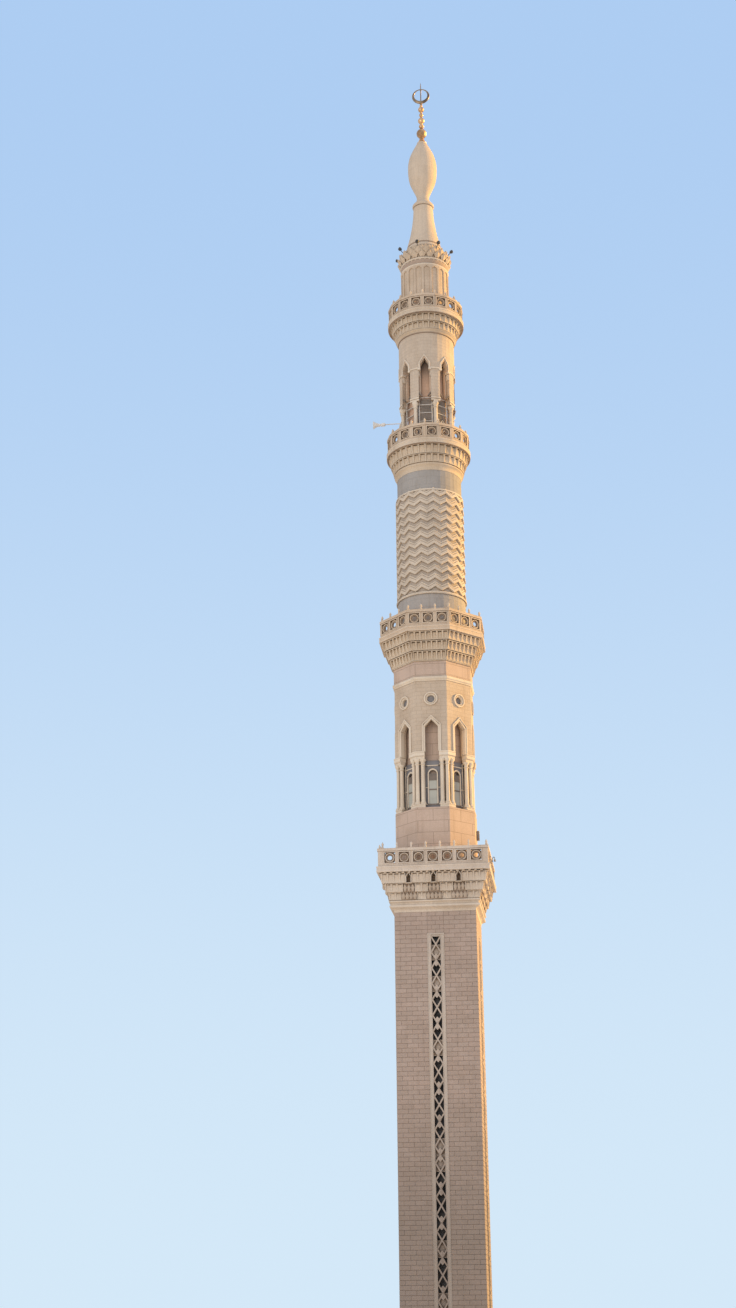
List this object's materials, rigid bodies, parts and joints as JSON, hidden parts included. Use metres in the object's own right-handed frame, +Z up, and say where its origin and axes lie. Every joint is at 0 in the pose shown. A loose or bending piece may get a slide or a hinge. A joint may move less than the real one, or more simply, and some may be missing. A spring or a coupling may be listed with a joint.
{
  "type": "scale model of a stone minaret",
  "caption": "Slender stone minaret at one tenth of full size: square latticed shaft, octagonal arcaded stage, round stages, pierced balconies and a gilt finial.",
  "frame": {"origin": "centre of the square foot, at ground level", "axes": "+Z up the tower, the front face looks along -Y, +X to the right seen from the front"},
  "size_m": [0.88, 0.824, 10.4],
  "materials": {
    "warm_stone": "matte",
    "pink_stone": "matte",
    "shaft_stone": "matte",
    "grey_stone": "matte",
    "pale_stone": "satin",
    "dark_panel": "satin",
    "gilt": "satin",
    "white_paint": "satin",
    "grey_paint": "satin",
    "black_paint": "satin",
    "dark_glass": "polished"
  },
  "bodies": {
    "root": {"shaft_wall_front": "shaft_stone", "shaft_wall_right": "shaft_stone", "shaft_wall_back": "shaft_stone", "shaft_wall_left": "shaft_stone", "shaft_lattice_front": "pale_stone", "shaft_lattice_right": "pale_stone", "shaft_lattice_back": "pale_stone", "shaft_lattice_left": "pale_stone", "square_corbel": "warm_stone", "square_balcony_floor": "warm_stone", "square_balustrade_front": "warm_stone", "square_balustrade_right": "warm_stone", "square_balustrade_back": "warm_stone", "square_balustrade_left": "warm_stone", "octagon_plinth": "pink_stone", "octagon_stair_core": "pink_stone", "corner_columns_1": "pale_stone", "corner_columns_2": "pale_stone", "corner_columns_3": "pale_stone", "corner_columns_4": "pale_stone", "corner_columns_5": "pale_stone", "corner_columns_6": "pale_stone", "corner_columns_7": "pale_stone", "corner_columns_8": "pale_stone", "octagon_window_screens": "dark_panel", "octagon_arcade_wall": "warm_stone", "octagon_corbel": "warm_stone", "octagon_balcony_floor": "warm_stone", "octagon_balustrade": "warm_stone", "lower_grey_band": "grey_stone", "zigzag_drum": "warm_stone", "upper_grey_band": "grey_stone", "lower_round_corbel": "warm_stone", "lower_round_floor": "warm_stone", "lower_round_balustrade": "warm_stone", "lantern_stair_head": "pink_stone", "lantern_columns": "pale_stone", "lantern_arcade": "warm_stone", "lantern_railing": "white_paint", "upper_round_corbel": "warm_stone", "upper_round_floor": "warm_stone", "upper_round_balustrade": "warm_stone", "top_drum": "warm_stone", "leaf_crown": "warm_stone", "spire_cone": "warm_stone", "spire_bulb": "warm_stone", "finial_stem": "gilt", "finial_crescent": "gilt", "horn_speaker": "white_paint", "balcony_lamp": "grey_paint", "plinth_speaker": "grey_paint"}
  },
  "joints": []
}
